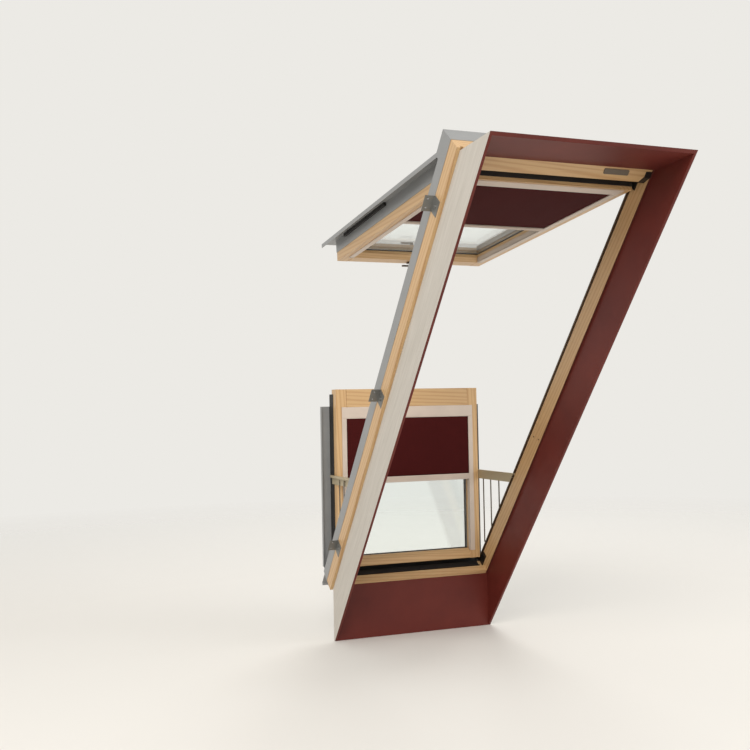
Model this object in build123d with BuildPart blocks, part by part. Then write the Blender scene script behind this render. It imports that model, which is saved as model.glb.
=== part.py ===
from build123d import *
import math
import os

os.makedirs("parts", exist_ok=True)

# Top hung and bottom hung roof window that opens into a small balcony.
# Millimetres, +Z up, +Y out of the room, +X to the right as seen from the room.
# The origin lies on the floor, in the middle of the foot of the kerb board.
# Both sashes stand open. A piece of the frame is placed by s, its distance up the
# slope from the lower lining line, and by d, its depth outward from the room face.
# A piece of a sash is placed by v, its height above the sash's lower edge, and by h,
# its depth outward from the sash's room face.

# Roof and lined opening
PITCH = 50
KERB = 286.2
CLEAR_WIDE = 886
CLEAR_LONG = 2464
BOARD = 12
HEAD_BOARD_RISE = 2.1

# Fixed frame
FRAME_EDGE = 28
FRAME_SIDE = 38
FRAME_DEEP = 88
GROOVE_DEEP = 10
GROOVE_ROOM = 0.4
HEAD_REACH = 51
HEAD_BEVEL = 18
HEAD_NOSE = 18
NOSE_FROM = 24
NOSE_TO = 36
SILL_LIP = 22
SILL_LIP_DEEP = 38
SILL_REBATE = 2
SILL_REBATE_IN = 44
BLANK_LONG = 119
BLANK_TALL = 24
BLANK_THICK = 3
BLANK_OFF = 110.5
BLANK_UP = 31

# Side track for the handrails
TRACK_WIDE = 16
TRACK_DEEP = 18
TRACK_SLOT = 12.4
TRACK_SLOT_AT = 96.8
TRACK_SLOT_IN = 12
TRACK_SHORT = 52
SEAL_FOOT = 10
SEAL_FOOT_THICK = 2.5
SEAL_BLADE = 3
SEAL_TALL = 12
SEAL_SHORT = 92

# Sashes
SASH_GAP = 17
STILE = 59
SASH_WOOD = 66
SASH_AT = 40
EDGE_EASE = 3
REBATE_IN = 15
REBATE_AT = 38
BEAD = 22
LOWER_FROM = 20
LOWER_LONG = 943
LOWER_TOP_RAIL = 140
LOWER_BOTTOM_RAIL = 52
MEETING_GAP = 6
UPPER_TOP_GAP = 9
UPPER_TOP_RAIL = 62
UPPER_BOTTOM_RAIL = 105

# Glazing
PANE = 4
PANE_GAP = 16
GLASS_COVER = 12
SEAL_THICK = 3
SEAL_PROUD = 2
SPACER_WIDE = 10

# Sash cladding
SHEET = 2
FLANGE_AT = 108
FLANGE_OUT = 53
LIP_DEEP = 20
WALL_FROM = 45
SLOPE_IN = 18
OVERLAP = 90
TRIM_DROP = 25
TRIM_EASE = 4
SKIRT_THICK = 2.5
SKIRT_DROP = 62
SKIRT_LAP = 30
SKIRT_IN = 39
SIDE_BAR_FROM = 153
SIDE_BAR_LONG = 565
SIDE_BAR_THICK = 12
SIDE_BAR_DEEP = 16
END_SEAL_FROM = 15
END_SEAL_THICK = 3

# Hinges: axes in frame distances, both sashes
LOWER_AXIS_S = -20
LOWER_AXIS_D = 95
UPPER_AXIS_DOWN = 12.5
UPPER_AXIS_D = 123
UPPER_OPEN_ANGLE = 45
LOWER_OPEN_ANGLE = 40
PLATE = 3
PIN_R = 4
PIN_IN = 4
COLLAR = 2.5
RUNNING = 0.1
BOSS = 6.3
UPPER_BOSS = 9
UPPER_PLATE_LONG = 75
UPPER_PLATE_FROM = 60
UPPER_PLATE_STEP = 20
UPPER_LEAF_LONG = 160
LEAF_FROM = 10
LEAF_TO = 43
LOWER_LEAF_LONG = 120
LEAF_FOOT = 2
ARM_EASE = 3.5
ARM_STEP = 14
ARM_HEEL = 6
ARM_REACH = 16
ARM_RISE = 10
LOWER_PLATE_FROM = 5
LOWER_PLATE_TO = 80
LOWER_PLATE_DROP = 4
LUG_TO = 6
PLATE_CLEAR = 6
LUG_EASE = 0.3
HEAD_BLOCK_WIDE = 28
HEAD_BLOCK_UP = 42

# Handrails and balusters
RAIL_V = 462
RAIL_H = 60
RAIL_TALL = 48
RAIL_SHEET = 1.5
RAIL_IN = 2.5
RAIL_WEB = 13.5
RAIL_LIP = 12
RAIL_END = 14
STUD_R = 3
STUD_IN = 15
PIVOT_R = 2.5
BAR_WIDE = 10
BAR_THICK = 2.5
BAR_PITCH = 3.5
BAR_IN = 4.2
BAR_FIRST = 112
BAR_SECOND = 191
BAR_THIRD = 278
PIN_IN_TRACK = 7
RAIL_RIDE = 3.201
BAR_RIDE = 2.03

# Latch
LATCH_V = 34
LATCH_LONG = 64
LATCH_TALL = 26
LATCH_PROUD = 8
LATCH_EASE = 4
SPINDLE_R = 9
SPINDLE_LONG = 10
LEVER_LONG = 74
LEVER_TALL = 14
LEVER_BACK = 11
LEVER_THICK = 7

# Blinds
CASSETTE_IN = 36
CASSETTE_TALL = 62
CASSETTE_SHEET = 2
LOWER_CASSETTE = 95
UPPER_CASSETTE = 12
BLIND_PROUD = 4
BLIND_SEAT = 24
CHANNEL_GAP = 2
CHANNEL_WIDE = 26
CHANNEL_THICK = 8
CHANNEL_WEB = 2
CHANNEL_SLOT = 2
CHANNEL_SLOT_DEEP = 16
CHANNEL_FOOT = 9
CHANNEL_CAP = 8
CHANNEL_CAP_PROUD = 1.5
CLOTH_THICK = 0.6
CLOTH_EASE = 3
CLOTH_AT = 1
CLOTH_TUCK = 5
LOWER_CLOTH_LONG = 317
UPPER_CLOTH_LONG = 561
BAR_TALL = 32
BAR_DEEP = 8
BAR_RIB = 6
BAR_EASE = 1
BAR_SLACK = 0.4
EASE = 2

# Mounting
BRACKET_LONG = 70
BRACKET_LEAF = 50
BRACKET_FOOT = 46
BRACKET_SHEET = 2
BRACKET_AT = 60
BRACKET_HOLE_R = 3.5
BRACKET_HOLE_OUT = 30
BRACKET_HOLE_SPLIT = 40
SCREW_R = 3
SCREW_HEAD_R = 6.5
SCREW_HEAD = 4
SCREW_LONG = 30

# Fixed covers
COVER = 1.5
SIDE_COVER_TOP = 128
SIDE_COVER_SHORT = 112
SIDE_COVER_LEAF = 19
HOOD_AT = 154
HOOD_DEEP = 86
HOOD_SKIRT = 66
SILL_COVER_DROP = 66
SILL_COVER_AT = 110
SILL_COVER_FROM = 30
SILL_NOSE = 10
SILL_NOSE_DROP = 12

half_clear = CLEAR_WIDE / 2
half_out = half_clear + FRAME_EDGE
half_in = half_out - FRAME_SIDE
half_sash = half_in - SASH_GAP
half_sight = half_sash - STILE
half_flange = half_sash + FLANGE_OUT
half_case = half_sash - CASSETTE_IN
channel_from = half_sight + CHANNEL_GAP
half_cloth = channel_from + CHANNEL_SLOT_DEEP - CLOTH_EASE
frame_top = CLEAR_LONG + FRAME_EDGE
head_at = CLEAR_LONG - HEAD_REACH
track_mid = half_in + TRACK_WIDE / 2
track_top = FRAME_DEEP + TRACK_DEEP
cover_end = frame_top - SIDE_COVER_SHORT
hood_from = frame_top - HOOD_DEEP
upper_from = LOWER_FROM + LOWER_LONG + MEETING_GAP
upper_long = head_at - UPPER_TOP_GAP - upper_from
upper_axis_s = upper_from + upper_long - UPPER_AXIS_DOWN
hands = (("left", -1), ("right", 1))


def leaning(y, z, lean):
    """Elevation plane seen from outside: it leans back, its y axis climbs, its z axis points out."""
    angle = math.radians(lean)
    return Plane(origin=(0, y, z), x_dir=(-1, 0, 0), z_dir=(0, math.sin(angle), math.cos(angle)))


def swung(axis_s, axis_d, v, h, lean):
    """Elevation plane of an open sash whose hinge axis lies at v, h of the sash."""
    pivot = frame_plane.from_local_coords((0, axis_s, axis_d))
    free = leaning(0, 0, lean)
    start = pivot - free.y_dir * v - free.z_dir * h
    return leaning(start.Y, start.Z, lean)


def across(plane, x=0):
    """Section plane of a piece that runs sideways: local x climbs, local y goes out."""
    return Plane(origin=plane.from_local_coords((-x, 0, 0)), x_dir=plane.y_dir, z_dir=plane.x_dir)


def along(plane, y=0):
    """Section plane of a piece that runs up the slope: local x goes right, local y goes out."""
    return Plane(origin=plane.from_local_coords((0, y, 0)), x_dir=-plane.x_dir, z_dir=plane.y_dir)


frame_plane = leaning(-BOARD / 2, KERB, PITCH)
lower_v = LOWER_AXIS_S - LOWER_FROM
lower_h = LOWER_AXIS_D - SASH_AT
upper_v = upper_axis_s - upper_from
upper_h = UPPER_AXIS_D - SASH_AT
lower_plane = swung(LOWER_AXIS_S, LOWER_AXIS_D, lower_v, lower_h, PITCH + LOWER_OPEN_ANGLE)
upper_plane = swung(upper_axis_s, UPPER_AXIS_D, upper_v, upper_h, PITCH - UPPER_OPEN_ANGLE)


def box_on(plane, x, y, wide, tall, low, high):
    """Upright block on an elevation plane, between two depths."""
    centre = plane.from_local_coords((-x, y, (low + high) / 2))
    place = Plane(origin=centre, x_dir=plane.x_dir, z_dir=plane.z_dir)
    return place * Box(wide, tall, high - low, mode=Mode.PRIVATE)


def rod_on(plane, x_from, x_to, y, depth, radius):
    """Round rod that runs sideways, at a height and depth of an elevation plane."""
    centre = plane.from_local_coords((-(x_from + x_to) / 2, y, depth))
    place = Plane(origin=centre, x_dir=plane.y_dir, z_dir=plane.x_dir)
    return place * Cylinder(radius, abs(x_to - x_from), mode=Mode.PRIVATE)


# Fixed frame
slope = math.radians(PITCH)
bracket_rows = [CLEAR_LONG * k / 10 for k in (1, 5, 9)]
screw_depth = BRACKET_AT - BRACKET_LEAF / 2

for side, hand in hands:
    groove_out = half_clear + BOARD + GROOVE_ROOM
    with BuildPart() as frame_side:
        with BuildSketch(along(frame_plane, -FRAME_EDGE)):
            with Locations((hand * (half_in + FRAME_SIDE / 2), FRAME_DEEP / 2)):
                Rectangle(FRAME_SIDE, FRAME_DEEP)
            with Locations((hand * (half_clear + groove_out) / 2, GROOVE_DEEP / 2)):
                Rectangle(groove_out - half_clear, GROOVE_DEEP, mode=Mode.SUBTRACT)
        extrude(amount=frame_top + FRAME_EDGE)
        for row in bracket_rows:
            bore = rod_on(frame_plane, hand * (half_out - SCREW_LONG), hand * half_out,
                          row, screw_depth, SCREW_R)
            add(bore, mode=Mode.SUBTRACT)
    frame_side.part.label = "frame_side_" + side
    export_step(frame_side.part, "parts/frame_side_" + side + ".step")

with BuildPart() as frame_head:
    with BuildSketch(across(frame_plane)):
        Polygon((head_at + HEAD_BEVEL, 0), (frame_top, 0), (frame_top, FRAME_DEEP),
                (head_at, FRAME_DEEP), (head_at, NOSE_TO), (head_at - HEAD_NOSE, NOSE_TO),
                (head_at - HEAD_NOSE, NOSE_FROM), align=None)
    extrude(amount=half_in, both=True)
frame_head.part.label = "frame_head"
export_step(frame_head.part, "parts/frame_head.step")

with BuildPart() as frame_sill:
    with BuildSketch(across(frame_plane)):
        Polygon((-FRAME_EDGE, 0), (SILL_LIP, 0), (SILL_LIP, SILL_LIP_DEEP),
                (SILL_REBATE, SILL_REBATE_IN), (SILL_REBATE, FRAME_DEEP),
                (-FRAME_EDGE, FRAME_DEEP), align=None)
    extrude(amount=half_in, both=True)
frame_sill.part.label = "frame_sill"
export_step(frame_sill.part, "parts/frame_sill.step")

# Lining boards
apron_in = -BOARD / 2
apron_out = BOARD / 2
rise = math.radians(HEAD_BOARD_RISE)
head_line_y = apron_in - CLEAR_LONG * math.cos(slope)
head_line_z = KERB + CLEAR_LONG * math.sin(slope)
# The head board meets the wall plane, which starts at the kerb's foot and has the roof pitch.
head_reach_y = (head_line_z - (apron_in - head_line_y) * math.tan(slope)) / (math.tan(slope) - math.tan(rise))
wall_y = head_line_y - head_reach_y
wall_z = head_line_z + head_reach_y * math.tan(rise)
board_up = BOARD / math.cos(rise)
frame_down = BOARD * math.tan(slope)
# Where the top face of the head board meets the frame plane and the wall plane
top_frame_y = head_line_y - board_up / (math.tan(slope) + math.tan(rise) * -1)
top_frame_z = KERB + (apron_in - top_frame_y) * math.tan(slope)
top_wall_y = wall_y - board_up / (math.tan(slope) - math.tan(rise))
top_wall_z = (apron_in - top_wall_y) * math.tan(slope)
out_y = math.sin(slope) * GROOVE_DEEP
out_z = math.cos(slope) * GROOVE_DEEP

for side, hand in hands:
    with BuildPart() as lining_side:
        with BuildSketch(Plane.YZ.offset(hand * half_clear)):
            Polygon((apron_in, 0), (apron_out, 0), (apron_out, KERB - frame_down),
                    (apron_in, KERB), (apron_in + out_y, KERB + out_z),
                    (head_line_y + out_y, head_line_z + out_z),
                    (top_frame_y, top_frame_z), (top_wall_y, top_wall_z), align=None)
        extrude(amount=hand * BOARD)
    lining_side.part.label = "lining_" + side
    export_step(lining_side.part, "parts/lining_" + side + ".step")

with BuildPart() as lining_top:
    with BuildSketch(Plane.YZ):
        Polygon((head_line_y, head_line_z), (top_frame_y, top_frame_z),
                (top_wall_y, top_wall_z), (wall_y, wall_z), align=None)
    extrude(amount=half_clear, both=True)
lining_top.part.label = "lining_top"
export_step(lining_top.part, "parts/lining_top.step")

with BuildPart() as lining_apron:
    with BuildSketch(Plane.YZ):
        Polygon((apron_in, 0), (apron_out, 0), (apron_out, KERB - frame_down),
                (apron_in, KERB), align=None)
    extrude(amount=half_clear, both=True)
lining_apron.part.label = "lining_apron"
export_step(lining_apron.part, "parts/lining_apron.step")

# Side tracks and frame seals
for side, hand in hands:
    with BuildPart() as track:
        with BuildSketch(along(frame_plane, -FRAME_EDGE)):
            with Locations((hand * track_mid, FRAME_DEEP + TRACK_DEEP / 2)):
                Rectangle(TRACK_WIDE, TRACK_DEEP)
            with Locations((hand * (half_in + TRACK_SLOT_IN / 2), TRACK_SLOT_AT)):
                Rectangle(TRACK_SLOT_IN, TRACK_SLOT, mode=Mode.SUBTRACT)
        extrude(amount=frame_top - TRACK_SHORT + FRAME_EDGE)
    track.part.label = "track_" + side
    export_step(track.part, "parts/track_" + side + ".step")

foot_top = track_top + SEAL_FOOT_THICK
gasket_at = SILL_REBATE + 2
with BuildPart() as frame_seal:
    for side, hand in hands:
        with BuildSketch(along(frame_plane, -FRAME_EDGE)):
            with Locations((hand * track_mid, (track_top + foot_top) / 2)):
                Rectangle(SEAL_FOOT, SEAL_FOOT_THICK)
            with Locations((hand * track_mid, track_top + SEAL_TALL / 2)):
                Rectangle(SEAL_BLADE, SEAL_TALL)
        extrude(amount=frame_top - SEAL_SHORT + FRAME_EDGE)
    with BuildSketch(across(frame_plane)):
        Polygon((SILL_REBATE, SILL_REBATE_IN + 2), (gasket_at, SILL_REBATE_IN + 2),
                (gasket_at, SILL_REBATE_IN + 6), (gasket_at + 10, SILL_REBATE_IN + 7),
                (gasket_at + 10, SILL_REBATE_IN + 10), (gasket_at, SILL_REBATE_IN + 12),
                (gasket_at, FRAME_DEEP), (SILL_REBATE, FRAME_DEEP), align=None)
    extrude(amount=half_sash - SEAL_BLADE, both=True)
frame_seal.part.label = "frame_seal"
export_step(frame_seal.part, "parts/frame_seal.step")

# Fixed outer covers
leaf_at = half_out - SIDE_COVER_LEAF
for side, hand in hands:
    with BuildPart() as side_cover:
        with BuildSketch(along(frame_plane, -FRAME_EDGE)):
            with Locations((hand * (half_out + COVER / 2), (HOOD_SKIRT + SIDE_COVER_TOP) / 2)):
                Rectangle(COVER, SIDE_COVER_TOP - HOOD_SKIRT)
            with Locations((hand * (half_out + COVER + leaf_at) / 2, SIDE_COVER_TOP - COVER / 2)):
                Rectangle(half_out + COVER - leaf_at, COVER)
            with Locations((hand * (leaf_at + COVER / 2), (FRAME_DEEP + SIDE_COVER_TOP) / 2)):
                Rectangle(COVER, SIDE_COVER_TOP - FRAME_DEEP)
        extrude(amount=cover_end + FRAME_EDGE)
    side_cover.part.label = "side_cover_" + side
    export_step(side_cover.part, "parts/side_cover_" + side + ".step")

with BuildPart() as head_cover:
    with BuildSketch(across(frame_plane)):
        Polygon((hood_from, HOOD_AT), (frame_top, HOOD_AT), (frame_top, HOOD_SKIRT),
                (frame_top + COVER, HOOD_SKIRT), (frame_top + COVER, HOOD_AT + COVER),
                (hood_from, HOOD_AT + COVER), align=None)
    extrude(amount=half_out + COVER, both=True)
    for side, hand in hands:
        add(box_on(frame_plane, hand * (half_out + COVER / 2), (cover_end + frame_top + COVER) / 2,
                   COVER, frame_top + COVER - cover_end, HOOD_SKIRT, HOOD_AT + COVER))
head_cover.part.label = "head_cover"
export_step(head_cover.part, "parts/head_cover.step")

drop_at = -FRAME_EDGE - SILL_COVER_DROP
with BuildPart() as sill_cover:
    with BuildSketch(across(frame_plane)):
        Polygon((-FRAME_EDGE, SILL_COVER_FROM), (-FRAME_EDGE, SILL_COVER_AT), (drop_at, SILL_COVER_AT),
                (drop_at - SILL_NOSE, SILL_COVER_AT - SILL_NOSE_DROP),
                (drop_at - SILL_NOSE + COVER, SILL_COVER_AT - SILL_NOSE_DROP - 1),
                (drop_at + 1, SILL_COVER_AT - COVER), (-FRAME_EDGE - COVER, SILL_COVER_AT - COVER),
                (-FRAME_EDGE - COVER, SILL_COVER_FROM), align=None)
    extrude(amount=half_out + COVER, both=True)
sill_cover.part.label = "sill_cover"
export_step(sill_cover.part, "parts/sill_cover.step")

# Mounting brackets
with BuildPart() as mounting_brackets:
    for side, hand in hands:
        for row in bracket_rows:
            add(box_on(frame_plane, hand * (half_out + BRACKET_SHEET / 2), row, BRACKET_SHEET, BRACKET_LONG,
                       BRACKET_AT - BRACKET_LEAF, BRACKET_AT))
            add(box_on(frame_plane, hand * (half_out + BRACKET_FOOT / 2), row, BRACKET_FOOT, BRACKET_LONG,
                       BRACKET_AT, BRACKET_AT + BRACKET_SHEET))
            add(rod_on(frame_plane, hand * half_out, hand * (half_out + BRACKET_SHEET),
                       row, screw_depth, SCREW_R), mode=Mode.SUBTRACT)
            with BuildSketch(frame_plane.offset(BRACKET_AT)):
                with Locations((-hand * (half_out + BRACKET_HOLE_OUT), row)):
                    with GridLocations(0, BRACKET_HOLE_SPLIT, 1, 2):
                        Circle(BRACKET_HOLE_R)
            extrude(amount=BRACKET_SHEET, mode=Mode.SUBTRACT)
mounting_brackets.part.label = "mounting_brackets"
export_step(mounting_brackets.part, "parts/mounting_brackets.step")

with BuildPart() as bracket_screws:
    for side, hand in hands:
        sheet_out = half_out + BRACKET_SHEET
        for row in bracket_rows:
            add(rod_on(frame_plane, hand * (half_out - SCREW_LONG), hand * sheet_out,
                       row, screw_depth, SCREW_R))
            with BuildSketch(across(frame_plane, hand * sheet_out)):
                with Locations((row, screw_depth)):
                    RegularPolygon(SCREW_HEAD_R, 6)
            extrude(amount=-hand * SCREW_HEAD)
bracket_screws.part.label = "bracket_screws"
export_step(bracket_screws.part, "parts/bracket_screws.step")

with BuildPart() as blank_plate:
    with BuildSketch(frame_plane):
        with Locations((BLANK_OFF + BLANK_LONG / 2 - half_in, head_at + BLANK_UP)):
            plate_face = Rectangle(BLANK_LONG, BLANK_TALL)
            chamfer(plate_face.vertices(), BLANK_THICK)
    extrude(amount=-BLANK_THICK)
blank_plate.part.label = "blank_plate"
export_step(blank_plate.part, "parts/blank_plate.step")

# Hinges on the frame, with the dark blocks at the ends of the head
block_edge = head_at - HEAD_NOSE - PLATE
with BuildPart() as upper_hinge_plates:
    for side, hand in hands:
        with BuildSketch(across(frame_plane, hand * half_in)):
            Polygon((head_at - UPPER_PLATE_LONG, UPPER_PLATE_FROM), (head_at - 1, UPPER_PLATE_FROM),
                    (head_at - 1, track_top), (upper_axis_s + UPPER_BOSS, UPPER_AXIS_D),
                    (upper_axis_s - UPPER_BOSS, UPPER_AXIS_D),
                    (head_at - UPPER_PLATE_LONG, UPPER_PLATE_FROM + UPPER_PLATE_STEP), align=None)
            with Locations((upper_axis_s, UPPER_AXIS_D)):
                Circle(UPPER_BOSS)
                Circle(PIN_R, mode=Mode.SUBTRACT)
        extrude(amount=hand * PLATE)
        with BuildSketch(across(frame_plane, hand * half_in)):
            Polygon((head_at + HEAD_BLOCK_UP, 0), (head_at + HEAD_BLOCK_UP, -PLATE),
                    (head_at + HEAD_BEVEL - 1, -PLATE), (block_edge, NOSE_FROM - 1), (block_edge, NOSE_TO),
                    (head_at - HEAD_NOSE, NOSE_TO), (head_at - HEAD_NOSE, NOSE_FROM),
                    (head_at + HEAD_BEVEL, 0), align=None)
        extrude(amount=hand * HEAD_BLOCK_WIDE)
upper_hinge_plates.part.label = "upper_hinge_plates"
export_step(upper_hinge_plates.part, "parts/upper_hinge_plates.step")

lug_out = LOWER_AXIS_D + BOSS
lug_in = LOWER_AXIS_D - BOSS - LUG_EASE
lug_edge = LOWER_AXIS_S - BOSS
plate_low = SILL_REBATE_IN + PLATE_CLEAR
with BuildPart() as lower_hinge_plates:
    for side, hand in hands:
        with BuildSketch(across(frame_plane, hand * half_in)):
            Polygon((LOWER_PLATE_FROM, plate_low), (LOWER_PLATE_TO, plate_low),
                    (LOWER_PLATE_TO, FRAME_DEEP - LOWER_PLATE_DROP), (LUG_TO, lug_out),
                    (lug_edge, lug_out), (lug_edge, lug_in), (LOWER_PLATE_FROM, lug_in), align=None)
            with Locations((LOWER_AXIS_S, LOWER_AXIS_D)):
                Circle(PIN_R, mode=Mode.SUBTRACT)
        extrude(amount=hand * PLATE)
lower_hinge_plates.part.label = "lower_hinge_plates"
export_step(lower_hinge_plates.part, "parts/lower_hinge_plates.step")

with BuildPart() as hinge_pins:
    for side, hand in hands:
        add(rod_on(frame_plane, hand * (half_sash + BAR_SLACK), hand * half_in,
                   upper_axis_s, UPPER_AXIS_D, PIN_R))
        add(rod_on(frame_plane, hand * (half_sash - PIN_IN), hand * half_in,
                   LOWER_AXIS_S, LOWER_AXIS_D, PIN_R))
        add(rod_on(frame_plane, hand * (half_sash - PIN_IN), hand * (half_sash - PIN_IN + COLLAR),
                   LOWER_AXIS_S, LOWER_AXIS_D, BOSS - LUG_EASE))
hinge_pins.part.label = "hinge_pins"
export_step(hinge_pins.part, "parts/hinge_pins.step")

# Sashes
sashes = (("upper", upper_plane, upper_long, UPPER_TOP_RAIL, UPPER_BOTTOM_RAIL, UPPER_CASSETTE),
          ("lower", lower_plane, LOWER_LONG, LOWER_TOP_RAIL, LOWER_BOTTOM_RAIL, LOWER_CASSETTE))

for name, plane, long, top_rail, bottom_rail, drop in sashes:
    sight_top = long - top_rail
    sight_mid = (sight_top + bottom_rail) / 2
    sight_tall = sight_top - bottom_rail
    rebate_x = half_sight + REBATE_IN
    case_top = long - drop
    foot = bottom_rail - CHANNEL_FOOT
    pocket_wide = CHANNEL_GAP + CHANNEL_WIDE

    for side, hand in hands:
        with BuildPart() as stile:
            with BuildSketch(along(plane)):
                Polygon((hand * (half_sight + EDGE_EASE), 0), (hand * half_sash, 0),
                        (hand * half_sash, SASH_WOOD), (hand * rebate_x, SASH_WOOD),
                        (hand * rebate_x, REBATE_AT), (hand * half_sight, REBATE_AT),
                        (hand * half_sight, EDGE_EASE), align=None)
            extrude(amount=long)
            add(box_on(plane, hand * (half_sight + pocket_wide / 2), (foot + case_top) / 2, pocket_wide,
                       case_top - foot, 0, BLIND_SEAT), mode=Mode.SUBTRACT)
            if name == "lower":
                add(rod_on(plane, hand * (half_sash - STUD_IN), hand * half_sash, RAIL_V, RAIL_H, STUD_R),
                    mode=Mode.SUBTRACT)
        stile.part.label = name + "_stile_" + side
        export_step(stile.part, "parts/" + name + "_stile_" + side + ".step")

    with BuildPart() as rail_top:
        with BuildSketch(across(plane)):
            Polygon((case_top, 0), (long, 0), (long, REBATE_AT), (sight_top, REBATE_AT),
                    (sight_top, BLIND_SEAT), (case_top, BLIND_SEAT), align=None)
        extrude(amount=half_sight, both=True)
        with BuildSketch(across(plane)):
            with Locations(((sight_top + REBATE_IN + long) / 2, (REBATE_AT + SASH_WOOD) / 2)):
                Rectangle(top_rail - REBATE_IN, SASH_WOOD - REBATE_AT)
        extrude(amount=rebate_x, both=True)
    rail_top.part.label = name + "_top_rail"
    export_step(rail_top.part, "parts/" + name + "_top_rail.step")

    with BuildPart() as rail_bottom:
        with BuildSketch(across(plane)):
            Polygon((0, EDGE_EASE), (EDGE_EASE, 0), (bottom_rail - BEAD, 0), (bottom_rail, BEAD),
                    (bottom_rail, REBATE_AT), (0, REBATE_AT), align=None)
        extrude(amount=half_sight, both=True)
        with BuildSketch(across(plane)):
            with Locations(((bottom_rail - REBATE_IN) / 2, (REBATE_AT + SASH_WOOD) / 2)):
                Rectangle(bottom_rail - REBATE_IN, SASH_WOOD - REBATE_AT)
        extrude(amount=rebate_x, both=True)
    rail_bottom.part.label = name + "_bottom_rail"
    export_step(rail_bottom.part, "parts/" + name + "_bottom_rail.step")

    glass_in = REBATE_AT + SEAL_THICK
    glass_out = glass_in + 2 * PANE + PANE_GAP
    glass_wide = 2 * (half_sight + GLASS_COVER)
    glass_tall = sight_tall + 2 * GLASS_COVER
    with BuildPart() as glass:
        for inner in (glass_in, glass_out - PANE):
            with BuildSketch(plane.offset(inner)):
                with Locations((0, sight_mid)):
                    Rectangle(glass_wide, glass_tall)
            extrude(amount=PANE)
    glass.part.label = name + "_glass"
    export_step(glass.part, "parts/" + name + "_glass.step")

    with BuildPart() as spacer:
        with BuildSketch(plane.offset(glass_in + PANE)):
            with Locations((0, sight_mid)):
                Rectangle(glass_wide, glass_tall)
                Rectangle(glass_wide - 2 * SPACER_WIDE, glass_tall - 2 * SPACER_WIDE, mode=Mode.SUBTRACT)
        extrude(amount=PANE_GAP)
    spacer.part.label = name + "_spacer"
    export_step(spacer.part, "parts/" + name + "_spacer.step")

    with BuildPart() as seal:
        for inner, thick in ((REBATE_AT, SEAL_THICK), (glass_out, SEAL_THICK - 1)):
            with BuildSketch(plane.offset(inner)):
                with Locations((0, sight_mid)):
                    Rectangle(glass_wide, glass_tall)
                    Rectangle(2 * (half_sight - SEAL_PROUD), sight_tall - 2 * SEAL_PROUD, mode=Mode.SUBTRACT)
            extrude(amount=thick)
    seal.part.label = name + "_glazing_seal"
    export_step(seal.part, "parts/" + name + "_glazing_seal.step")

    slope_from = glass_out + SEAL_THICK - 1
    slope_rise = FLANGE_AT - slope_from
    slope_taper = math.degrees(math.atan2(SLOPE_IN, slope_rise))
    flange_low = -OVERLAP if name == "upper" else -SHEET
    flange_high = long + SHEET if name == "upper" else long - OVERLAP
    flange_mid = (flange_low + flange_high) / 2
    flange_tall = flange_high - flange_low
    wall_out = half_sash + SHEET
    with BuildPart() as cladding:
        with BuildSketch(plane.offset(FLANGE_AT)):
            with Locations((0, flange_mid)):
                Rectangle(2 * half_flange, flange_tall)
        extrude(amount=SHEET)
        with BuildSketch(plane.offset(FLANGE_AT - LIP_DEEP + SHEET)):
            with Locations((0, flange_mid)):
                with GridLocations(2 * half_flange - SHEET, 0, 2, 1):
                    Rectangle(SHEET, flange_tall)
        extrude(amount=LIP_DEEP - SHEET)
        if name == "upper":
            with BuildSketch(plane.offset(WALL_FROM)):
                with Locations((0, long / 2)):
                    Rectangle(2 * wall_out, long + 2 * SHEET)
                    Rectangle(2 * half_sash, long, mode=Mode.SUBTRACT)
            extrude(amount=FLANGE_AT - WALL_FROM)
        else:
            add(box_on(plane, 0, -SHEET / 2, 2 * half_sash, SHEET, WALL_FROM, FLANGE_AT))
            add(box_on(plane, 0, flange_high - SHEET / 2, 2 * half_sash, SHEET, SASH_WOOD, FLANGE_AT))
            add(box_on(plane, 0, long - OVERLAP / 2, 2 * half_sash, OVERLAP, SASH_WOOD, SASH_WOOD + SHEET))
        with BuildSketch(plane.offset(slope_from)):
            with Locations((0, sight_mid)):
                Rectangle(2 * half_sight + 2 * SHEET, sight_tall + 2 * SHEET)
        extrude(amount=slope_rise, taper=-slope_taper)
        with BuildSketch(plane.offset(slope_from)):
            with Locations((0, sight_mid)):
                Rectangle(2 * half_sight, sight_tall)
        extrude(amount=slope_rise + SHEET, taper=-slope_taper, mode=Mode.SUBTRACT)
        # Room for the hinge arms and their pins
        if name == "upper":
            notch_low = upper_v - UPPER_BOSS - SHEET
            for side, hand in hands:
                add(box_on(plane, hand * (half_sash + SHEET / 2), (notch_low + long + SHEET) / 2, SHEET,
                           long + SHEET - notch_low, WALL_FROM, upper_h + UPPER_BOSS + SHEET),
                    mode=Mode.SUBTRACT)
    cladding.part.label = name + "_cladding"
    export_step(cladding.part, "parts/" + name + "_cladding.step")

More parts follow.
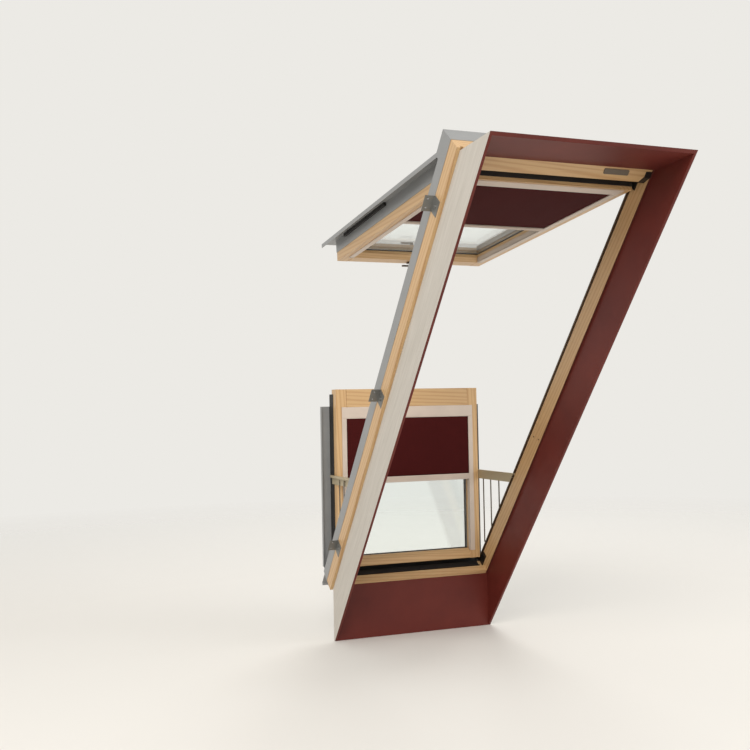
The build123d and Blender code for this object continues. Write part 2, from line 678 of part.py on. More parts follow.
    # Black edges: side trims and drip skirt below, side bars and end seal above
    with BuildPart() as edge_seals:
        if name == "lower":
            trim_top = long - TRIM_DROP
            for side, hand in hands:
                trim_x = hand * (half_sash + SHEET / 2)
                add(box_on(plane, trim_x, (flange_high - SHEET) / 2, SHEET, flange_high + SHEET,
                           WALL_FROM, FLANGE_AT))
                add(box_on(plane, trim_x, (flange_high + trim_top) / 2, SHEET, trim_top - flange_high,
                           WALL_FROM, FLANGE_AT - TRIM_EASE))
                add(rod_on(plane, hand * half_sash, hand * wall_out, RAIL_V, RAIL_H, STUD_R + RUNNING),
                    mode=Mode.SUBTRACT)
            add(box_on(plane, 0, (SKIRT_LAP - SKIRT_DROP) / 2, 2 * (half_flange - SKIRT_IN),
                       SKIRT_LAP + SKIRT_DROP, FLANGE_AT + SHEET, FLANGE_AT + SHEET + SKIRT_THICK))
        else:
            for side, hand in hands:
                add(box_on(plane, hand * (wall_out + SIDE_BAR_THICK / 2), SIDE_BAR_FROM + SIDE_BAR_LONG / 2,
                           SIDE_BAR_THICK, SIDE_BAR_LONG, FLANGE_AT - SIDE_BAR_DEEP, FLANGE_AT))
            add(box_on(plane, 0, long + END_SEAL_THICK / 2, 2 * half_sash, END_SEAL_THICK,
                       END_SEAL_FROM, WALL_FROM))
    edge_seals.part.label = name + "_edge_seals"
    export_step(edge_seals.part, "parts/" + name + "_edge_seals.step")

# Hinges on the sashes
with BuildPart() as upper_hinge_leaves:
    for side, hand in hands:
        with BuildSketch(across(upper_plane, hand * half_sash)):
            Polygon((upper_v - UPPER_LEAF_LONG, LEAF_FROM), (upper_v + UPPER_BOSS, LEAF_FROM),
                    (upper_v + UPPER_BOSS, upper_h), (upper_v - UPPER_BOSS, upper_h),
                    (upper_v - UPPER_BOSS, LEAF_TO), (upper_v - UPPER_LEAF_LONG, LEAF_TO), align=None)
            with Locations((upper_v, upper_h)):
                Circle(UPPER_BOSS)
                Circle(PIN_R + RUNNING, mode=Mode.SUBTRACT)
        extrude(amount=-hand * PLATE)
upper_hinge_leaves.part.label = "upper_hinge_leaves"
export_step(upper_hinge_leaves.part, "parts/upper_hinge_leaves.step")

with BuildPart() as lower_hinge_leaves:
    for side, hand in hands:
        with BuildSketch(across(lower_plane, hand * half_sash)):
            Polygon((LEAF_FOOT, LEAF_FROM), (LOWER_LEAF_LONG, LEAF_FROM), (LOWER_LEAF_LONG, LEAF_TO),
                    (-ARM_EASE, LEAF_TO), (-ARM_EASE, LEAF_TO + ARM_STEP),
                    (lower_v + ARM_HEEL, lower_h + BOSS), (lower_v, lower_h + BOSS),
                    (lower_v, lower_h - BOSS), (-ARM_REACH, lower_h - BOSS),
                    (-ARM_REACH, LEAF_FROM + ARM_RISE), align=None)
            with Locations((lower_v, lower_h)):
                Circle(BOSS)
                Circle(PIN_R + RUNNING, mode=Mode.SUBTRACT)
        extrude(amount=-hand * PLATE)
lower_hinge_leaves.part.label = "lower_hinge_leaves"
export_step(lower_hinge_leaves.part, "parts/lower_hinge_leaves.step")

# Latch on the upper sash
with BuildPart() as latch_case:
    with BuildSketch(upper_plane):
        with Locations((0, LATCH_V)):
            case_face = Rectangle(LATCH_LONG, LATCH_TALL)
            chamfer(case_face.vertices(), LATCH_EASE)
    extrude(amount=-LATCH_PROUD)
latch_case.part.label = "latch_case"
export_step(latch_case.part, "parts/latch_case.step")

lever_at = -LATCH_PROUD - SPINDLE_LONG
with BuildPart() as latch_handle:
    with BuildSketch(upper_plane.offset(-LATCH_PROUD)):
        with Locations((0, LATCH_V)):
            Circle(SPINDLE_R)
    extrude(amount=-SPINDLE_LONG)
    with BuildSketch(upper_plane.offset(lever_at)):
        with Locations((LEVER_LONG / 2 - LEVER_BACK, LATCH_V)):
            lever_face = Rectangle(LEVER_LONG, LEVER_TALL)
            chamfer(lever_face.vertices(), LATCH_EASE)
    extrude(amount=-LEVER_THICK)
latch_handle.part.label = "latch_handle"
export_step(latch_handle.part, "parts/latch_handle.step")

# Handrails and balusters of the lower sash
rail_start = lower_plane.from_local_coords((0, RAIL_V, RAIL_H))
rail_plane = Plane(origin=rail_start, x_dir=(0, -1, 0), z_dir=(-1, 0, 0))
rail_skin = half_sash + RAIL_IN
half_rail = RAIL_TALL / 2
end_lean = half_rail / math.tan(slope)
bars = (BAR_FIRST, BAR_SECOND, BAR_THIRD)
# The free ends of the rails and balusters ride in the track slots.
rail_depth = frame_plane.to_local_coords(rail_start).Z - TRACK_SLOT_AT
rail_long = (rail_depth - RAIL_RIDE) / math.sin(slope)
bar_fall = (rail_depth - BAR_RIDE) / math.cos(slope)


def rail_outline(low, high):
    """Side outline of a handrail strip between two heights; its room end is cut along the slope."""
    lean = 1 / math.tan(slope)
    return Polygon((-RAIL_END, low), (rail_long + RAIL_END + low * lean, low),
                   (rail_long + RAIL_END + high * lean, high), (-RAIL_END, high), align=None,
                   mode=Mode.PRIVATE)


for side, hand in hands:
    with BuildPart() as handrail:
        with BuildSketch(rail_plane.offset(-hand * rail_skin)):
            add(rail_outline(-half_rail, half_rail))
            Circle(STUD_R + RUNNING, mode=Mode.SUBTRACT)
        extrude(amount=-hand * RAIL_SHEET)
        with BuildSketch(rail_plane.offset(-hand * rail_skin)):
            add(rail_outline(half_rail - RAIL_SHEET, half_rail))
        extrude(amount=-hand * RAIL_WEB)
        with BuildSketch(rail_plane.offset(-hand * (rail_skin + RAIL_WEB - RAIL_SHEET))):
            add(rail_outline(half_rail - RAIL_LIP, half_rail))
        extrude(amount=-hand * RAIL_SHEET)
        for order in range(3):
            with BuildSketch(rail_plane.offset(-hand * (rail_skin + RAIL_SHEET))):
                with Locations((bars[order], 0)):
                    Circle(PIVOT_R)
            extrude(amount=-hand * (BAR_IN - RAIL_IN - RAIL_SHEET + order * BAR_PITCH + BAR_THICK + 0.2))
        with BuildSketch(rail_plane.offset(-hand * (rail_skin + RAIL_SHEET))):
            with Locations((rail_long, 0)):
                Circle(PIVOT_R)
        extrude(amount=-hand * (half_in + PIN_IN_TRACK - rail_skin - RAIL_SHEET))
    handrail.part.label = "handrail_" + side
    export_step(handrail.part, "parts/handrail_" + side + ".step")

    for order in range(3):
        inner = half_sash + BAR_IN + order * BAR_PITCH
        fall = bar_fall * (1 - bars[order] / rail_long)
        with BuildPart() as baluster:
            with BuildSketch(rail_plane.offset(-hand * inner)):
                with Locations((bars[order], -fall / 2)):
                    strip = Rectangle(BAR_WIDE, fall + BAR_WIDE)
                    chamfer(strip.vertices(), PIVOT_R)
                with Locations((bars[order], 0)):
                    Circle(PIVOT_R + RUNNING, mode=Mode.SUBTRACT)
            extrude(amount=-hand * BAR_THICK)
            with BuildSketch(rail_plane.offset(-hand * (inner + BAR_THICK))):
                with Locations((bars[order], -fall)):
                    Circle(PIVOT_R)
            extrude(amount=-hand * (half_in + PIN_IN_TRACK - inner - BAR_THICK))
        baluster.part.label = "baluster_" + side + "_" + str(order + 1)
        export_step(baluster.part, "parts/baluster_" + side + "_" + str(order + 1) + ".step")

with BuildPart() as rail_studs:
    for side, hand in hands:
        add(rod_on(lower_plane, hand * (half_sash - STUD_IN), hand * (rail_skin + RAIL_SHEET), RAIL_V, RAIL_H,
                   STUD_R))
rail_studs.part.label = "rail_studs"
export_step(rail_studs.part, "parts/rail_studs.step")

# Blinds, set into the room side of the sashes
blinds = (("upper", upper_plane, upper_long, UPPER_CASSETTE, UPPER_CLOTH_LONG, UPPER_BOTTOM_RAIL),
          ("lower", lower_plane, LOWER_LONG, LOWER_CASSETTE, LOWER_CLOTH_LONG, LOWER_BOTTOM_RAIL))

for name, plane, long, drop, cloth_long, bottom_rail in blinds:
    case_top = long - drop
    case_low = case_top - CASSETTE_TALL
    case_mid = (case_top + case_low) / 2
    foot = bottom_rail - CHANNEL_FOOT
    cloth_end = case_low - cloth_long
    with BuildPart() as cassette:
        with BuildSketch(across(plane)):
            Polygon((case_top, BLIND_SEAT), (case_top, EASE - BLIND_PROUD), (case_top - EASE, -BLIND_PROUD),
                    (case_low + 3 * EASE, -BLIND_PROUD), (case_low, EASE - BLIND_PROUD),
                    (case_low, BLIND_SEAT), align=None)
        extrude(amount=half_case, both=True)
        add(box_on(plane, 0, case_mid, 2 * (half_case - CASSETTE_SHEET), CASSETTE_TALL - 2 * CASSETTE_SHEET,
                   CASSETTE_SHEET - BLIND_PROUD, BLIND_SEAT), mode=Mode.SUBTRACT)
        add(box_on(plane, 0, case_low + CASSETTE_SHEET / 2, 2 * (half_cloth + CLOTH_EASE), CASSETTE_SHEET,
                   CLOTH_AT - CHANNEL_SLOT / 2, CLOTH_AT + CHANNEL_SLOT / 2), mode=Mode.SUBTRACT)
    cassette.part.label = name + "_blind_cassette"
    export_step(cassette.part, "parts/" + name + "_blind_cassette.step")

    with BuildPart() as channels:
        for side, hand in hands:
            face_mid = CHANNEL_THICK / 2 - BLIND_PROUD
            with BuildSketch(along(plane, foot)):
                with Locations((hand * (channel_from + CHANNEL_WIDE / 2), face_mid)):
                    Rectangle(CHANNEL_WIDE, CHANNEL_THICK)
                with Locations((hand * (channel_from + CHANNEL_SLOT_DEEP / 2), CLOTH_AT)):
                    Rectangle(CHANNEL_SLOT_DEEP, CHANNEL_SLOT, mode=Mode.SUBTRACT)
                with Locations((hand * (channel_from + CHANNEL_WEB / 2), (CLOTH_AT + 1 + BLIND_SEAT) / 2)):
                    Rectangle(CHANNEL_WEB, BLIND_SEAT - CLOTH_AT - 1)
            extrude(amount=case_low - foot)
            add(box_on(plane, hand * (channel_from + CHANNEL_WIDE / 2), foot + CHANNEL_CAP / 2, CHANNEL_WIDE,
                       CHANNEL_CAP, -BLIND_PROUD - CHANNEL_CAP_PROUD, CHANNEL_THICK - BLIND_PROUD))
            add(box_on(plane, hand * (half_case + channel_from + CHANNEL_WIDE) / 2, (case_low + case_top) / 2,
                       channel_from + CHANNEL_WIDE - half_case, CASSETTE_TALL, -BLIND_PROUD, BLIND_SEAT))
    channels.part.label = name + "_blind_channels"
    export_step(channels.part, "parts/" + name + "_blind_channels.step")

    with BuildPart() as cloth:
        with BuildSketch(plane.offset(CLOTH_AT - CLOTH_THICK / 2)):
            with Locations((0, (cloth_end + case_low + CLOTH_TUCK) / 2)):
                Rectangle(2 * half_cloth, cloth_long + CLOTH_TUCK)
        extrude(amount=CLOTH_THICK)
    cloth.part.label = name + "_blind_fabric"
    export_step(cloth.part, "parts/" + name + "_blind_fabric.step")

    bar_mid = cloth_end - BAR_TALL / 2
    rib_at = (BAR_TALL - BAR_RIB) / 2 - EASE
    with BuildPart() as bar:
        with BuildSketch(across(plane)):
            with Locations((bar_mid, CLOTH_AT)):
                Rectangle(BAR_TALL, BAR_DEEP)
            with Locations((bar_mid + rib_at, CLOTH_AT - 1), (bar_mid, CLOTH_AT - 1),
                           (bar_mid - rib_at, CLOTH_AT - 1)):
                Rectangle(BAR_RIB, BAR_DEEP + 2)
        extrude(amount=channel_from - BAR_EASE, both=True)
        with BuildSketch(across(plane)):
            with Locations((bar_mid, CLOTH_AT)):
                Rectangle(BAR_TALL - 2 * EASE, CHANNEL_SLOT - BAR_SLACK)
        extrude(amount=half_cloth, both=True)
    bar.part.label = name + "_blind_bar"
    export_step(bar.part, "parts/" + name + "_blind_bar.step")
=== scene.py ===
import math

import bmesh
import bpy
from mathutils import Matrix, Vector


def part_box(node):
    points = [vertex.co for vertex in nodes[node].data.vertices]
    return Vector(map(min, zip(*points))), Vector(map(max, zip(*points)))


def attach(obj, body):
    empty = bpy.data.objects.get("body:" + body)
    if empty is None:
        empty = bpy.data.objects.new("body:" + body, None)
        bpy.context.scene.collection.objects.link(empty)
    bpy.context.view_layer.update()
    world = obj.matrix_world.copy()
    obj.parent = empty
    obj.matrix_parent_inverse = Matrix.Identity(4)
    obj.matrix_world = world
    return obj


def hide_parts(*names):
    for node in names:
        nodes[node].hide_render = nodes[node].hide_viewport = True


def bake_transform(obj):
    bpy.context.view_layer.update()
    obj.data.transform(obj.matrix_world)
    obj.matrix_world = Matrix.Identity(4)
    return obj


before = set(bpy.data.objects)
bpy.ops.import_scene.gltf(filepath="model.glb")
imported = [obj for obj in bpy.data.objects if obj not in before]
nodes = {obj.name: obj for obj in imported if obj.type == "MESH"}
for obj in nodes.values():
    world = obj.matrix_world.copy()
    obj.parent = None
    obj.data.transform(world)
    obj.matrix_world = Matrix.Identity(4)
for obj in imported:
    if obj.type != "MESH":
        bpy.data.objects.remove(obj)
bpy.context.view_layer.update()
MM = 0.001

# The roof's pitch and the rise of the open upper sash, both from level
SLOPE = math.radians(50)
UPPER_RISE = math.radians(5)
UP_SLOPE = Vector((0, -math.cos(SLOPE), math.sin(SLOPE)))
OUT_OF_ROOF = Vector((0, math.sin(SLOPE), math.cos(SLOPE)))

# Turns about X that bring the run of the pieces upright
ROOF_TURN = math.radians(-40)
UPPER_TURN = math.radians(-85)
UPRIGHT = 0.0

# Half the width between the outer edges of the painted shade strips on the frame sides, and a point in the
# room that sees all the lining paint
SHADE_STRIP_REACH = 0.4435
ROOM_POINT = (0.0, -2.5, 1.0)

# The cloths: thickness, bow between the channels, and a slight ripple across the width
CLOTH_COLOUR = (76, 20, 19)
CLOTH_THICK = 0.0005
CLOTH_BOW = 0.0006
CLOTH_RIPPLE = 0.00035
RIPPLE_TURNS = 37.0

# The frame's section, and the thickness of the lower hinge plates
FRAME_EDGE = 0.028
FRAME_DEEP = 0.088
PLATE_THICK = 0.003

# Rings of a screw head from rim to socket: share of the radius, rise, and depth of the socket's lobes
HEAD_RINGS = ((1.0, 0.0, 0.0), (0.96, 0.14, 0.0), (0.75, 0.27, 0.0), (0.48, 0.3, 0.0),
              (0.42, 0.29, 0.07), (0.38, 0.06, 0.07))
HEAD_STEPS = 24
SOCKET_LOBES = 6

# Screw heads of a side: place up the slope, depth, radius, and how proud their face is of the frame side
SIDE_SCREWS = ((0.948, 0.063, 0.004, 0.0), (0.967, 0.019, 0.004, 0.0), (2.047, 0.091, 0.0024, 0.0),
               (2.070, 0.091, 0.0024, 0.0), (0.024, 0.066, 0.0045, PLATE_THICK),
               (0.060, 0.066, 0.0045, PLATE_THICK))

# The ends of the drip skirt
SKIRT_FROM = 0.430
SKIRT_REACH = 0.030
SKIRT_THICK = 0.0025
SKIRT_FALL = 0.062
SKIRT_CORNER = 0.012
SKIRT_ROUNDING = 0.0006

# Floor, light and camera
FLOOR_RADIUS = 12.0
FLOOR_AT = (0, -0.9, 0)
FADE_FROM = 3.0
FADE_TO = 9.0
MIDDLE = (0, -0.8, 1.2)
SEEN_COLOUR = (236, 234, 229)
AMBIENT_COLOUR = (1.0, 0.985, 0.96, 1)
AMBIENT_STRENGTH = 0.56
YAW, PITCH, ROLL = (math.radians(angle) for angle in (21.118, 1.891, -1.0737))
CAMERA_AT = Vector((-2128.8, -4992.2, 1212.9)) * MM
FOCAL_PIXELS = 998.11
PICTURE_PIXELS = 750
SENSOR_WIDE = 36


def tone(red, green, blue):
    """Linear colour of a display colour given from 0 to 255."""
    def straight(value):
        value /= 255
        return value / 12.92 if value <= 0.04045 else ((value + 0.055) / 1.055) ** 2.4
    return (straight(red), straight(green), straight(blue), 1.0)


def shaded(colour, factor):
    """A colour made darker or lighter by a factor, up to white."""
    return tuple(min(1, channel * factor) for channel in colour[:3]) + (1,)


class Look:
    """A material whose nodes are added one by one."""

    def __init__(self, name, colour, rough=0.5, metal=0.0):
        self.material = bpy.data.materials.new(name)
        self.material.use_nodes = True
        self.tree = self.material.node_tree
        self.shader = self.tree.nodes["Principled BSDF"]
        self.set(self.shader, "Base Color", colour)
        self.set(self.shader, "Roughness", rough)
        self.set(self.shader, "Metallic", metal)

    def set(self, node, socket, value):
        if isinstance(value, bpy.types.NodeSocket):
            self.tree.links.new(value, node.inputs[socket])
        else:
            node.inputs[socket].default_value = value

    def add(self, kind, inputs=None, **settings):
        node = self.tree.nodes.new("ShaderNode" + kind)
        for key, value in settings.items():
            setattr(node, key, value)
        for socket, value in (inputs or {}).items():
            self.set(node, socket, value)
        return node

    def place(self, turn=0.0, scale=(1, 1, 1)):
        """The object's own coordinates in metres, turned about X and then scaled."""
        coords = self.add("TexCoord").outputs["Object"]
        turned = self.add("Mapping", {"Vector": coords, "Rotation": (turn, 0, 0)}).outputs[0]
        return self.add("Mapping", {"Vector": turned, "Scale": scale}).outputs[0]

    def noise(self, vector, scale, detail=3.0, rough=0.5):
        node = self.add("TexNoise", {"Vector": vector, "Scale": scale, "Detail": detail, "Roughness": rough})
        return node.outputs["Fac"]

    def ramp(self, value, *stops):
        node = self.add("ValToRGB", {"Fac": value})
        points = node.color_ramp.elements
        while len(points) < len(stops):
            points.new(0.5)
        for point, (where, colour) in zip(points, stops):
            point.position = where
            point.color = colour
        return node.outputs["Color"]

    def grey(self, value, low, high, start=0.0, end=1.0):
        """Maps a value to the range low to high."""
        node = self.add("MapRange", {"Value": value, "From Min": start, "From Max": end,
                                     "To Min": low, "To Max": high})
        return node.outputs["Result"]

    def mix(self, kind, factor, first, second):
        node = self.add("MixRGB", {"Fac": factor, "Color1": first, "Color2": second}, blend_type=kind)
        return node.outputs["Color"]

    def bump(self, height, depth, strength=1.0, under=None):
        inputs = {"Height": height, "Distance": depth, "Strength": strength}
        if under is not None:
            inputs["Normal"] = under
        return self.add("Bump", inputs).outputs["Normal"]

    def facing(self, direction, limit):
        """One on the faces that point along a direction of the object, nought elsewhere."""
        normal = self.add("TexCoord").outputs["Normal"]
        along = self.add("VectorMath", {0: normal, 1: direction}, operation="DOT_PRODUCT").outputs["Value"]
        return self.add("Math", {0: along, 1: limit}, operation="GREATER_THAN").outputs[0]

    def soft_edges(self, radius):
        """Normals that round the edges a little."""
        return self.add("Bevel", {"Radius": radius}, samples=4).outputs["Normal"]


def pine(name, turn, sideways, shade_strip=False):
    """Lacquered pine. The grain runs up the slope, or sideways along X; painted shade can turn the faces
    toward the room dark red-brown.
    """
    # The third colour is painted shade, the dark red-brown of the shadow gap between frame and lining
    light, dark, red_brown = tone(208, 173, 126), tone(195, 155, 108), tone(88, 35, 27)
    look = Look(name, light, 0.42)
    run = (0.05, 1, 1) if sideways else (1, 1, 0.05)
    fine = (0.025, 1, 1) if sideways else (1, 1, 0.025)
    stretched = look.place(turn, run)
    wander = look.noise(stretched, 6.0, 3.0, 0.5)
    rings = look.add("TexWave", {"Vector": stretched, "Scale": 30.0, "Distortion": 3.2, "Detail": 2.0,
                                 "Detail Scale": 1.1, "Detail Roughness": 0.5},
                     bands_direction="DIAGONAL").outputs["Fac"]
    lines = look.ramp(rings, (0.0, light), (0.45, light), (1.0, dark))
    fibre = look.noise(look.place(turn, fine), 900.0, 2.0, 0.6)
    blotch = look.ramp(wander, (0.3, (0.92, 0.90, 0.87, 1)), (0.7, (1.03, 1.02, 1.0, 1)))
    colour = look.mix("MULTIPLY", 0.9, lines, blotch)
    strands = look.ramp(fibre, (0.35, (0.93, 0.91, 0.89, 1)), (0.65, (1, 1, 1, 1)))
    colour = look.mix("MULTIPLY", 0.6, colour, strands)
    # Painted shade: faces toward the room, within the lining's reach, turn dark red-brown for the shadow gap
    # between frame and lining
    if shade_strip:
        into_room = look.facing(-OUT_OF_ROOF, 0.9)
        across = look.add("SeparateXYZ", {0: look.add("TexCoord").outputs["Object"]}).outputs["X"]
        inside = look.add("Math", {0: across, 1: 0.0, 2: SHADE_STRIP_REACH}, operation="COMPARE").outputs[0]
        shade_strip_face = look.add("Math", {0: into_room, 1: inside}, operation="MULTIPLY").outputs[0]
        colour = look.mix("MIX", shade_strip_face, colour, red_brown)
    look.set(look.shader, "Base Color", colour)
    look.set(look.shader, "Roughness", look.grey(fibre, 0.36, 0.52))
    look.set(look.shader, "Coat Weight", 0.2)
    look.set(look.shader, "Coat Roughness", 0.3)
    normal = look.bump(fibre, 0.00012, 0.5, look.soft_edges(0.0016))
    look.set(look.shader, "Normal", look.bump(rings, 0.00006, 0.3, normal))
    return look.material


def painted_board(name):
    """Brick-brown roller paint on the faces toward the room, pale primer behind."""
    look = Look(name, tone(98, 37, 29), 0.55)
    place = look.place()
    stipple = look.noise(place, 700.0, 2.0, 0.5)
    cloud = look.noise(place, 4.0, 4.0, 0.6)
    red_brown = look.ramp(cloud, (0.3, tone(91, 33, 26)), (0.7, tone(106, 41, 32)))
    brushing = look.noise(look.place(ROOF_TURN, (1, 1, 0.03)), 190.0, 3.0, 0.6)
    primer = look.ramp(brushing, (0.3, tone(190, 184, 174)), (0.7, tone(206, 200, 191)))
    coords = look.add("TexCoord").outputs
    toward = look.add("VectorMath", {0: ROOM_POINT, 1: coords["Object"]}, operation="SUBTRACT").outputs[0]
    facing = look.add("VectorMath", {0: toward, 1: coords["Normal"]}, operation="DOT_PRODUCT")
    behind = look.add("Math", {0: facing.outputs["Value"], 1: 0.0}, operation="LESS_THAN").outputs[0]
    look.set(look.shader, "Base Color", look.mix("MIX", behind, red_brown, primer))
    look.set(look.shader, "Roughness", look.grey(behind, 0.5, 0.85))
    look.set(look.shader, "Specular IOR Level", 0.3)
    normal = look.bump(stipple, 0.00012, 0.45, look.soft_edges(0.0012))
    look.set(look.shader, "Normal", look.bump(brushing, 0.0001, 0.2, normal))
    return look.material


def lacquer(name, colour, rough, metal=0.0, edge=0.0008, coat=0.0, spread=0.06):
    """Lacquered or anodised metal with a fine orange peel, cloudy gloss and rubbed edges."""
    look = Look(name, colour, rough, metal)
    place = look.place()
    peel = look.noise(place, 1400.0, 2.0, 0.5)
    cloud = look.noise(place, 7.0, 5.0, 0.6)
    shade = look.ramp(cloud, (0.3, shaded(colour, 1 - spread)), (0.7, shaded(colour, 1 + spread)))
    look.set(look.shader, "Base Color", shade)
    look.set(look.shader, "Roughness", look.grey(cloud, rough - 0.05, rough + 0.05, 0.3, 0.7))
    if coat:
        look.set(look.shader, "Coat Weight", coat)
        look.set(look.shader, "Coat Roughness", 0.2)
    look.set(look.shader, "Normal", look.bump(peel, 0.00005, 0.35, look.soft_edges(edge)))
    return look.material


def brushed(name, colour, turn, rough=0.32):
    """Metal with fine lines along its length."""
    look = Look(name, colour, rough, 0.9)
    lines = look.noise(look.place(turn, (1, 1, 0.02)), 1800.0, 2.0, 0.6)
    cloud = look.noise(look.place(), 11.0, 4.0, 0.6)
    look.set(look.shader, "Base Color", look.ramp(cloud, (0.3, shaded(colour, 0.9)), (0.7, colour)))
    look.set(look.shader, "Roughness", look.grey(lines, rough - 0.07, rough + 0.1))
    look.set(look.shader, "Normal", look.bump(lines, 0.00004, 0.4, look.soft_edges(0.0005)))
    return look.material


def rubber(name):
    """Dull dark rubber with a fine grain."""
    look = Look(name, tone(26, 24, 22), 0.62)
    grain = look.noise(look.place(), 1500.0, 2.0, 0.6)
    cloud = look.noise(look.place(), 12.0, 3.0, 0.5)
    look.set(look.shader, "Base Color", look.ramp(cloud, (0.3, tone(20, 18, 17)), (0.7, tone(34, 31, 28))))
    look.set(look.shader, "Roughness", look.grey(grain, 0.52, 0.74))
    look.set(look.shader, "Normal", look.bump(grain, 0.00008, 0.5, look.soft_edges(0.0008)))
    return look.material


def pane(name):
    """Clear glass with a faint uneven film."""
    look = Look(name, tone(250, 253, 252), 0.0)
    look.set(look.shader, "Transmission Weight", 1.0)
    look.set(look.shader, "IOR", 1.5)
    film = look.noise(look.place(), 3.0, 5.0, 0.6)
    look.set(look.shader, "Roughness", look.grey(film, 0.0, 0.03, 0.45, 0.75))
    return look.material


def woven(name, turn, colour):
    """Tightly woven blind cloth: warp and weft threads with small colour changes."""
    look = Look(name, colour, 0.86)
    threads = look.place(turn)
    wave = {"Vector": threads, "Scale": 420.0, "Distortion": 0.4, "Detail": 1.0, "Detail Scale": 6.0}
    warp = look.add("TexWave", wave, bands_direction="X").outputs["Fac"]
    weft = look.add("TexWave", wave, bands_direction="Z").outputs["Fac"]
    weave = look.add("Math", {0: warp, 1: weft}, operation="MULTIPLY").outputs[0]
    slub = look.noise(look.place(turn, (1, 1, 0.06)), 240.0, 3.0, 0.6)
    slub_across = look.noise(look.place(turn, (0.06, 1, 1)), 240.0, 3.0, 0.6)
    cloud = look.noise(look.place(), 5.0, 3.0, 0.5)
    base = look.ramp(weave, (0.0, shaded(colour, 0.72)), (0.8, shaded(colour, 1.18)))
    for value, share, start, low, end in ((slub, 0.5, 0.35, 0.8, 0.65), (slub_across, 0.5, 0.35, 0.8, 0.65),
                                          (cloud, 0.4, 0.3, 0.85, 0.7)):
        shading = look.ramp(value, (start, (low, low, low, 1)), (end, (1, 1, 1, 1)))
        base = look.mix("MULTIPLY", share, base, shading)
    look.set(look.shader, "Base Color", base)
    look.set(look.shader, "Specular IOR Level", 0.12)
    look.set(look.shader, "Normal", look.bump(weave, 0.0002, 0.55))
    return look.material


def dress(material, *names):
    """Gives CAD nodes one material."""
    for name in names:
        slots = nodes[name].data.materials
        slots.clear()
        slots.append(material)


def shown(name, form, material):
    """The object of a finished form, linked into the scene with one material."""
    mesh = bpy.data.meshes.new(name)
    form.to_mesh(mesh)
    form.free()
    mesh.materials.append(material)
    thing = bpy.data.objects.new(name, mesh)
    bpy.context.collection.objects.link(thing)
    return thing


# Finishes
# The frame sides carry the painted shade strip along the lining
roof_up = pine("pine_roof_up", ROOF_TURN, False, shade_strip=True)
roof_across = pine("pine_roof_across", ROOF_TURN, True)
upper_up = pine("pine_upper_up", UPPER_TURN, False)
upper_across = pine("pine_upper_across", UPPER_TURN, True)
lower_up = pine("pine_lower_up", UPRIGHT, False)
lower_across = pine("pine_lower_across", UPRIGHT, True)
board = painted_board("lining_paint")
cladding = lacquer("cladding_grey", tone(150, 151, 151), 0.45, 0.3, coat=0.1)
track_metal = lacquer("track_bronze", tone(122, 98, 74), 0.42, 0.5)
hinge_metal = lacquer("hinge_steel", tone(62, 58, 54), 0.4, 0.8, edge=0.0006)
bracket_metal = lacquer("bracket_steel", tone(132, 132, 129), 0.52, 0.7, spread=0.14)
seal = rubber("seal_rubber")
plate = lacquer("plate_grey", tone(104, 92, 78), 0.6)
latch = lacquer("latch_metal", tone(84, 64, 46), 0.35, 0.7)
blind_metal = lacquer("blind_metal", tone(205, 190, 176), 0.48, 0.1)
rail_metal = lacquer("rail_metal", tone(182, 168, 138), 0.45, 0.3)
bar_metal = lacquer("bar_metal", tone(98, 90, 78), 0.45, 0.4)
spacer = brushed("spacer_metal", tone(150, 150, 150), UPRIGHT)
clear = pane("pane")
upper_cloth = woven("blind_cloth_upper", UPPER_TURN, tone(*CLOTH_COLOUR))
lower_cloth = woven("blind_cloth_lower", UPRIGHT, tone(*CLOTH_COLOUR))

dress(roof_up, "frame_side_left", "frame_side_right")
dress(roof_across, "frame_head", "frame_sill")
dress(board, "lining_left", "lining_right", "lining_top", "lining_apron")
dress(cladding, "side_cover_left", "side_cover_right", "head_cover", "sill_cover")
dress(track_metal, "track_left", "track_right")
dress(bracket_metal, "mounting_brackets", "bracket_screws")
dress(hinge_metal, "upper_hinge_plates", "lower_hinge_plates", "hinge_pins")
dress(seal, "frame_seal")
dress(plate, "blank_plate")
dress(latch, "latch_case", "latch_handle")
for sash, up, across in (("upper", upper_up, upper_across), ("lower", lower_up, lower_across)):
    dress(up, sash + "_stile_left", sash + "_stile_right")
    dress(across, sash + "_top_rail", sash + "_bottom_rail")
    dress(clear, sash + "_glass")
    dress(spacer, sash + "_spacer")
    dress(seal, sash + "_glazing_seal", sash + "_edge_seals")
    dress(cladding, sash + "_cladding")
    dress(hinge_metal, sash + "_hinge_leaves")
    dress(blind_metal, sash + "_blind_cassette", sash + "_blind_channels", sash + "_blind_bar")
for side in ("left", "right"):
    dress(rail_metal, "handrail_" + side)
    for order in (1, 2, 3):
        dress(bar_metal, "baluster_" + side + "_" + str(order))
dress(rail_metal, "rail_studs")


def cloth_sheet(name, node, material, up, out, columns=48, rows=36):
    """A stretched cloth in the place of a CAD cloth, bowed out a little between its side channels."""
    low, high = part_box(node)
    width = high[0] - low[0]
    if up.y < -0.5:
        corner = Vector((low[0], high[1], low[2]))
        length = (Vector((low[0], low[1], high[2])) - corner).length
    else:
        corner = Vector((low[0], (low[1] + high[1]) / 2, low[2]))
        length = high[2] - low[2]
    form = bmesh.new()
    grid = []
    for row in range(rows + 1):
        line = []
        for column in range(columns + 1):
            across, along = column / columns, row / rows
            swell = math.sin(math.pi * along)
            bow = CLOTH_BOW * math.sin(math.pi * across) * swell
            ripple = CLOTH_RIPPLE * math.sin(across * RIPPLE_TURNS) * swell
            point = corner + Vector((width * across, 0, 0)) + up * (length * along)
            line.append(form.verts.new(point + out * (bow + ripple)))
        grid.append(line)
    for below, after in zip(grid, grid[1:]):
        for column in range(columns):
            form.faces.new((below[column], below[column + 1], after[column + 1], after[column]))
    sheet = shown(name, form, material)
    for face in sheet.data.polygons:
        face.use_smooth = True
    thick = sheet.modifiers.new("thickness", "SOLIDIFY")
    thick.thickness = CLOTH_THICK
    thick.offset = 0
    return sheet, corner, length, width


